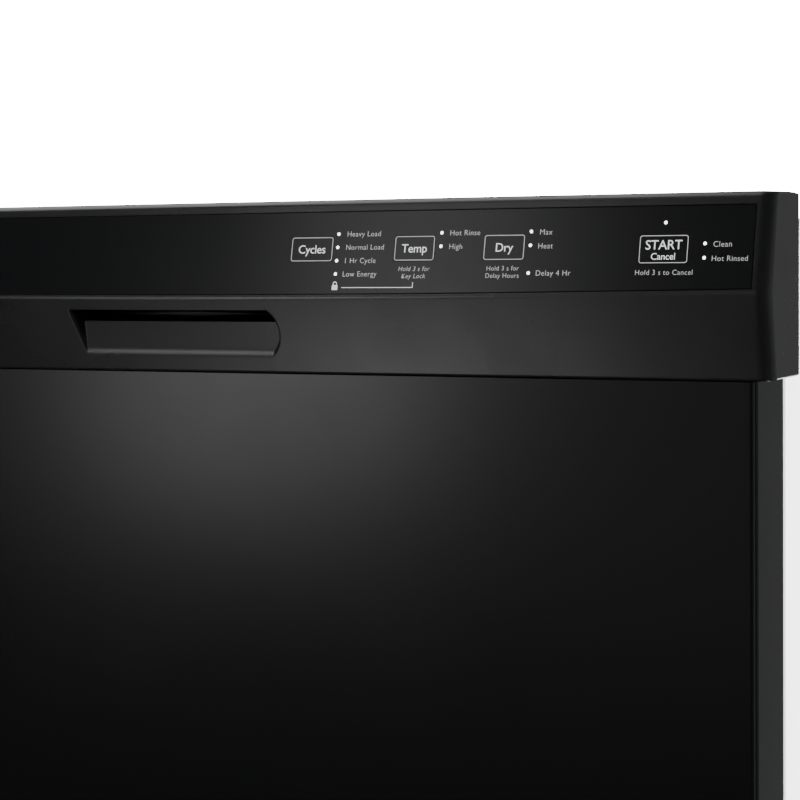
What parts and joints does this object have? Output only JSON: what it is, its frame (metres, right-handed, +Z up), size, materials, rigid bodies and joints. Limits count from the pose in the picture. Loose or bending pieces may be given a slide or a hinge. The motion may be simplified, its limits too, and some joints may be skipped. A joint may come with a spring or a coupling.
{
  "type": "built in dishwasher",
  "caption": "Front-control undercounter dishwasher with a moulded console, glossy control strip, flush buttons, pocket handle, drop-down door, racks and spray arms",
  "frame": {"origin": "on the floor under the middle of the machine's box", "axes": "+Z up, the door faces -Y, +X is to the right when facing the door"},
  "size_m": [0.606, 0.622, 0.85],
  "materials": {
    "console_black": "moulded black plastic with a fine satin grain",
    "overlay_black": "smooth glossy black control strip",
    "button_black": "smooth glossy black button pads",
    "door_black": "black enamelled sheet steel",
    "grey_plastic": "moulded grey polypropylene",
    "dark_plastic": "moulded dark grey plastic",
    "white_plastic": "moulded off-white plastic",
    "light_guide": "clear white light guide, lit",
    "blanket": "off-white felt sound blanket",
    "steel": "plain stainless steel",
    "zinc": "zinc-coated pressed steel",
    "heater_metal": "dull oxide-coated heater sheath",
    "coated_wire": "grey nylon-coated wire",
    "rubber": "soft grey seal rubber",
    "circuit": "green circuit board with black parts"
  },
  "bodies": {
    "cabinet": {"latch_strike": "steel", "hinge_bracket_left": "zinc", "hinge_bracket_right": "zinc", "door_spring_left": "steel", "door_spring_right": "steel", "tub": "grey_plastic", "tub_gasket": "rubber", "insulation_blanket": "blanket", "rack_guide_left": "white_plastic", "rack_guide_right": "white_plastic", "base_rail_left": "zinc", "base_rail_right": "zinc", "mounting_bracket_left": "steel", "mounting_bracket_right": "steel", "foot_front_left": "dark_plastic", "foot_front_right": "dark_plastic", "foot_rear_left": "dark_plastic", "foot_rear_right": "dark_plastic", "front_crossbar": "zinc", "toe_panel": "door_black", "sump": "dark_plastic", "wash_pump": "dark_plastic", "drain_pump": "white_plastic", "inlet_valve": "white_plastic", "junction_box": "zinc", "heating_element": "heater_metal", "filter_screen": "steel", "water_feed_tube": "grey_plastic"},
    "door": {"console_housing": "console_black", "control_overlay": "overlay_black", "indicator_light_guide": "light_guide", "control_board": "circuit", "latch_case": "dark_plastic", "door_panel": "door_black", "door_liner": "grey_plastic", "detergent_dispenser": "dark_plastic", "door_vent": "dark_plastic", "hinge_arm_left": "zinc", "hinge_arm_right": "zinc"},
    "button_cycles": {"button_cycles": "button_black"},
    "button_temperature": {"button_temperature": "button_black"},
    "button_dry": {"button_dry": "button_black"},
    "button_start": {"button_start": "button_black"},
    "latch_hook": {"latch_hook": "steel"},
    "detergent_lid": {"detergent_lid": "dark_plastic"},
    "rinse_aid_cap": {"rinse_aid_cap": "dark_plastic"},
    "float_dome": {"float_dome": "white_plastic"},
    "filter_cup": {"filter_cup": "dark_plastic"},
    "lower_spray_arm": {"lower_spray_arm": "dark_plastic"},
    "upper_rack": {"upper_rack": "coated_wire", "upper_track_left": "steel", "upper_track_right": "steel"},
    "upper_spray_arm": {"upper_spray_arm": "dark_plastic"},
    "lower_rack": {"lower_rack": "coated_wire", "silverware_basket": "grey_plastic"},
    "wheel_front_left": {"wheel_front_left": "grey_plastic"},
    "wheel_rear_left": {"wheel_rear_left": "grey_plastic"},
    "wheel_front_right": {"wheel_front_right": "grey_plastic"},
    "wheel_rear_right": {"wheel_rear_right": "grey_plastic"}
  },
  "joints": [
    {"name": "door_hinge", "type": "hinge", "parent": "cabinet", "child": "door", "pos_m": [0, -0.274, 0.14], "axis": [1, 0, 0], "range_deg": [0, 90]},
    {"name": "button_cycles_press", "type": "slide", "parent": "door", "child": "button_cycles", "axis": [0, 0.9774, -0.2113], "range_m": [0, 0.0007]},
    {"name": "button_temperature_press", "type": "slide", "parent": "door", "child": "button_temperature", "axis": [0, 0.9774, -0.2113], "range_m": [0, 0.0007]},
    {"name": "button_dry_press", "type": "slide", "parent": "door", "child": "button_dry", "axis": [0, 0.9774, -0.2113], "range_m": [0, 0.0007]},
    {"name": "button_start_press", "type": "slide", "parent": "door", "child": "button_start", "axis": [0, 0.9774, -0.2113], "range_m": [0, 0.0007]},
    {"name": "latch_hook_turn", "type": "hinge", "parent": "door", "child": "latch_hook", "pos_m": [0, -0.29, 0.824], "axis": [1, 0, 0], "range_deg": [0, 10]},
    {"name": "detergent_lid_slide", "type": "slide", "parent": "door", "child": "detergent_lid", "axis": [-1, 0, 0], "range_m": [0, 0.095]},
    {"name": "rinse_aid_cap_turn", "type": "hinge", "parent": "door", "child": "rinse_aid_cap", "pos_m": [0.05, -0.241, 0.58], "axis": [0, 1, 0], "range_deg": [0, 90]},
    {"name": "float_lift", "type": "slide", "parent": "cabinet", "child": "float_dome", "axis": [0, 0, 1], "range_m": [0, 0.008]},
    {"name": "filter_cup_twist", "type": "hinge", "parent": "cabinet", "child": "filter_cup", "pos_m": [0, 0.036, 0.188], "axis": [0, 0, 1], "range_deg": [0, 90]},
    {"name": "lower_spray_arm_spin", "type": "hinge", "parent": "cabinet", "child": "lower_spray_arm", "pos_m": [0, 0.036, 0.224], "axis": [0, 0, 1], "continuous": true},
    {"name": "upper_rack_slide", "type": "slide", "parent": "cabinet", "child": "upper_rack", "axis": [0, -1, 0], "range_m": [0, 0.377]},
    {"name": "upper_spray_arm_spin", "type": "hinge", "parent": "upper_rack", "child": "upper_spray_arm", "pos_m": [0, -0.0007, 0.464], "axis": [0, 0, 1], "continuous": true},
    {"name": "lower_rack_slide", "type": "slide", "parent": "cabinet", "child": "lower_rack", "axis": [0, -1, 0], "range_m": [0, 0.1807]},
    {"name": "wheel_front_left_roll", "type": "hinge", "parent": "lower_rack", "child": "wheel_front_left", "pos_m": [-0.2525, -0.1607, 0.207], "axis": [1, 0, 0], "continuous": true},
    {"name": "wheel_front_right_roll", "type": "hinge", "parent": "lower_rack", "child": "wheel_front_right", "pos_m": [0.2525, -0.1607, 0.207], "axis": [1, 0, 0], "continuous": true},
    {"name": "wheel_rear_left_roll", "type": "hinge", "parent": "lower_rack", "child": "wheel_rear_left", "pos_m": [-0.2525, 0.1393, 0.207], "axis": [1, 0, 0], "continuous": true},
    {"name": "wheel_rear_right_roll", "type": "hinge", "parent": "lower_rack", "child": "wheel_rear_right", "pos_m": [0.2525, 0.1393, 0.207], "axis": [1, 0, 0], "continuous": true}
  ],
  "couplings": [
    {"joint": "upper_rack_slide", "follows": "door_hinge", "m_per_rad": 0.24},
    {"joint": "lower_rack_slide", "follows": "door_hinge", "m_per_rad": 0.115}
  ]
}
